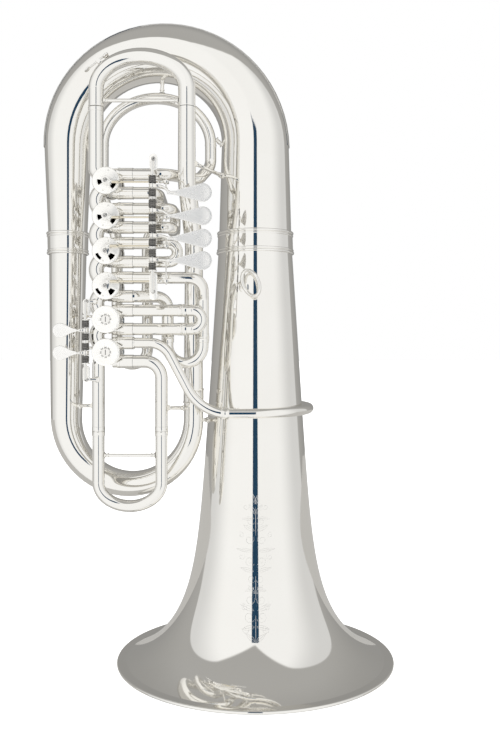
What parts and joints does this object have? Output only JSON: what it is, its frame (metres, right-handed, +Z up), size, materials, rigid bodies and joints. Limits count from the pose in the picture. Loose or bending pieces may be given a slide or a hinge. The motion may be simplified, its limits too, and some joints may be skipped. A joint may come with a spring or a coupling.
{
  "type": "tuba",
  "caption": "Upright rotary-valve tuba with a flared bell, looped conical tubing, a front main tuning slide, valve slides, finger levers and a wrapped leadpipe.",
  "frame": {"origin": "middle of the bounding box's bottom face, on the plane that the bell rim stands on", "axes": "+Z up along the bell's axis, +Y away from the valve side, +X to the right as seen from the valve side"},
  "size_m": [0.5344, 0.42, 0.9708],
  "materials": {
    "silver_plate": "polished silver plate",
    "spring_steel": "dark spring steel"
  },
  "bodies": {
    "instrument": {"bell": "silver_plate", "bell_ferrule": "silver_plate", "bottom_bow": "silver_plate", "bow_guard": "silver_plate", "bow_ferrule": "silver_plate", "top_bow": "silver_plate", "small_branch": "silver_plate", "leadpipe": "silver_plate", "mouthpiece_receiver": "silver_plate", "fourth_valve_loop": "silver_plate", "right_hand_rack": "silver_plate", "left_hand_rack": "silver_plate", "thumb_ring": "silver_plate", "valve_casing_1": "silver_plate", "valve_casing_2": "silver_plate", "valve_casing_3": "silver_plate", "valve_casing_4": "silver_plate", "valve_casing_5": "silver_plate", "valve_casing_6": "silver_plate", "valve_cap_1": "silver_plate", "valve_cap_2": "silver_plate", "valve_cap_3": "silver_plate", "valve_cap_4": "silver_plate", "valve_cap_5": "silver_plate", "valve_cap_6": "silver_plate", "lever_spring_1": "spring_steel", "lever_spring_2": "spring_steel", "lever_spring_3": "spring_steel", "lever_spring_4": "spring_steel", "lever_spring_5": "spring_steel", "lever_spring_6": "spring_steel"},
    "main_slide": {"main_slide": "silver_plate", "main_slide_brace": "silver_plate"},
    "valve_slide_1": {"valve_slide_1": "silver_plate"},
    "valve_slide_2": {"valve_slide_2": "silver_plate"},
    "valve_slide_3": {"valve_slide_3": "silver_plate"},
    "valve_slide_4": {"valve_slide_4": "silver_plate"},
    "valve_slide_5": {"valve_slide_5": "silver_plate"},
    "valve_slide_6": {"valve_slide_6": "silver_plate", "valve_slide_6_brace": "silver_plate"},
    "water_key": {"water_key": "silver_plate"},
    "lever_1": {"paddle_1": "silver_plate"},
    "rotor_1": {"rotor_1": "silver_plate"},
    "link_rod_1": {"link_rod_1": "silver_plate"},
    "lever_2": {"paddle_2": "silver_plate"},
    "rotor_2": {"rotor_2": "silver_plate"},
    "link_rod_2": {"link_rod_2": "silver_plate"},
    "lever_3": {"paddle_3": "silver_plate"},
    "rotor_3": {"rotor_3": "silver_plate"},
    "link_rod_3": {"link_rod_3": "silver_plate"},
    "lever_4": {"paddle_4": "silver_plate"},
    "rotor_4": {"rotor_4": "silver_plate"},
    "link_rod_4": {"link_rod_4": "silver_plate"},
    "lever_5": {"paddle_5": "silver_plate"},
    "rotor_5": {"rotor_5": "silver_plate"},
    "link_rod_5": {"link_rod_5": "silver_plate"},
    "lever_6": {"paddle_6": "silver_plate"},
    "rotor_6": {"rotor_6": "silver_plate"},
    "link_rod_6": {"link_rod_6": "silver_plate"}
  },
  "joints": [
    {"name": "lever_1", "type": "hinge", "parent": "instrument", "child": "lever_1", "pos_m": [-0.0852, -0.138, 0.5962], "axis": [0, 0, 1], "range_deg": [0, 23.9], "stiffness_Nm_per_rad": 0.25, "springref_deg": -20.05},
    {"name": "rotor_1", "type": "hinge", "parent": "instrument", "child": "rotor_1", "pos_m": [-0.1542, -0.085, 0.5625], "axis": [0, -1, 0], "range_deg": [0, 90]},
    {"name": "link_1", "type": "hinge", "parent": "rotor_1", "child": "link_rod_1", "pos_m": [-0.1507, -0.1172, 0.56856], "axis": [0, -1, 0], "range_deg": [-90, 0]},
    {"name": "lever_2", "type": "hinge", "parent": "instrument", "child": "lever_2", "pos_m": [-0.0852, -0.138, 0.6293], "axis": [0, 0, 1], "range_deg": [0, 23.9], "stiffness_Nm_per_rad": 0.25, "springref_deg": -20.05},
    {"name": "rotor_2", "type": "hinge", "parent": "instrument", "child": "rotor_2", "pos_m": [-0.1542, -0.085, 0.612], "axis": [0, -1, 0], "range_deg": [0, 90]},
    {"name": "link_2", "type": "hinge", "parent": "rotor_2", "child": "link_rod_2", "pos_m": [-0.1507, -0.1172, 0.61806], "axis": [0, -1, 0], "range_deg": [-90, 0]},
    {"name": "lever_3", "type": "hinge", "parent": "instrument", "child": "lever_3", "pos_m": [-0.0852, -0.138, 0.664], "axis": [0, 0, 1], "range_deg": [0, 23.9], "stiffness_Nm_per_rad": 0.25, "springref_deg": -20.05},
    {"name": "rotor_3", "type": "hinge", "parent": "instrument", "child": "rotor_3", "pos_m": [-0.1542, -0.085, 0.6615], "axis": [0, 1, 0], "range_deg": [0, 90]},
    {"name": "link_3", "type": "hinge", "parent": "rotor_3", "child": "link_rod_3", "pos_m": [-0.14814, -0.1172, 0.658], "axis": [0, 1, 0], "range_deg": [-90, 0]},
    {"name": "lever_4", "type": "hinge", "parent": "instrument", "child": "lever_4", "pos_m": [-0.0852, -0.138, 0.6979], "axis": [0, 0, 1], "range_deg": [0, 23.9], "stiffness_Nm_per_rad": 0.25, "springref_deg": -20.05},
    {"name": "rotor_4", "type": "hinge", "parent": "instrument", "child": "rotor_4", "pos_m": [-0.1542, -0.085, 0.711], "axis": [0, 1, 0], "range_deg": [0, 90]},
    {"name": "link_4", "type": "hinge", "parent": "rotor_4", "child": "link_rod_4", "pos_m": [-0.14814, -0.1172, 0.7075], "axis": [0, 1, 0], "range_deg": [-90, 0]},
    {"name": "lever_5", "type": "hinge", "parent": "instrument", "child": "lever_5", "pos_m": [-0.1844, -0.1, 0.5], "axis": [0, 0, -1], "range_deg": [0, 12.28], "stiffness_Nm_per_rad": 0.25, "springref_deg": -20.05},
    {"name": "rotor_5", "type": "hinge", "parent": "instrument", "child": "rotor_5", "pos_m": [-0.1542, -0.085, 0.5155], "axis": [0, 1, 0], "range_deg": [0, 90]},
    {"name": "link_5", "type": "hinge", "parent": "rotor_5", "child": "link_rod_5", "pos_m": [-0.1577, -0.0528, 0.52156], "axis": [0, 1, 0], "range_deg": [-90, 0]},
    {"name": "lever_6", "type": "hinge", "parent": "instrument", "child": "lever_6", "pos_m": [-0.1844, -0.1, 0.468], "axis": [0, 0, -1], "range_deg": [0, 12.28], "stiffness_Nm_per_rad": 0.25, "springref_deg": -20.05},
    {"name": "rotor_6", "type": "hinge", "parent": "instrument", "child": "rotor_6", "pos_m": [-0.1542, -0.085, 0.469], "axis": [0, 1, 0], "range_deg": [0, 90]},
    {"name": "link_6", "type": "hinge", "parent": "rotor_6", "child": "link_rod_6", "pos_m": [-0.1577, -0.0528, 0.47506], "axis": [0, 1, 0], "range_deg": [-90, 0]},
    {"name": "main_slide", "type": "slide", "parent": "instrument", "child": "main_slide", "axis": [0, 0, 1], "range_m": [0, 0.03]},
    {"name": "valve_slide_1", "type": "slide", "parent": "instrument", "child": "valve_slide_1", "axis": [0, 0, -1], "range_m": [0, 0.02]},
    {"name": "valve_slide_2", "type": "slide", "parent": "instrument", "child": "valve_slide_2", "axis": [1, 0, 0], "range_m": [0, 0.02]},
    {"name": "valve_slide_3", "type": "slide", "parent": "instrument", "child": "valve_slide_3", "axis": [0, 1, 0], "range_m": [0, 0.012]},
    {"name": "valve_slide_4", "type": "slide", "parent": "instrument", "child": "valve_slide_4", "axis": [0, 0, -1], "range_m": [0, 0.02]},
    {"name": "valve_slide_5", "type": "slide", "parent": "instrument", "child": "valve_slide_5", "axis": [1, 0, 0], "range_m": [0, 0.02]},
    {"name": "valve_slide_6", "type": "slide", "parent": "instrument", "child": "valve_slide_6", "axis": [0, 0, -1], "range_m": [0, 0.04]},
    {"name": "water_key", "type": "hinge", "parent": "main_slide", "child": "water_key", "pos_m": [-0.16897, -0.085, 0.88762], "axis": [0, -1, 0], "range_deg": [0, 12], "stiffness_Nm_per_rad": 0.06, "springref_deg": -22.92}
  ],
  "couplings": [
    {"joint": "rotor_1", "follows": "lever_1", "ratio": 3.7656},
    {"joint": "link_1", "follows": "lever_1", "ratio": -3.7656},
    {"joint": "rotor_2", "follows": "lever_2", "ratio": 3.7656},
    {"joint": "link_2", "follows": "lever_2", "ratio": -3.7656},
    {"joint": "rotor_3", "follows": "lever_3", "ratio": 3.7656},
    {"joint": "link_3", "follows": "lever_3", "ratio": -3.7656},
    {"joint": "rotor_4", "follows": "lever_4", "ratio": 3.7656},
    {"joint": "link_4", "follows": "lever_4", "ratio": -3.7656},
    {"joint": "rotor_5", "follows": "lever_5", "ratio": 7.3289},
    {"joint": "link_5", "follows": "lever_5", "ratio": -7.3289},
    {"joint": "rotor_6", "follows": "lever_6", "ratio": 7.3289},
    {"joint": "link_6", "follows": "lever_6", "ratio": -7.3289}
  ]
}
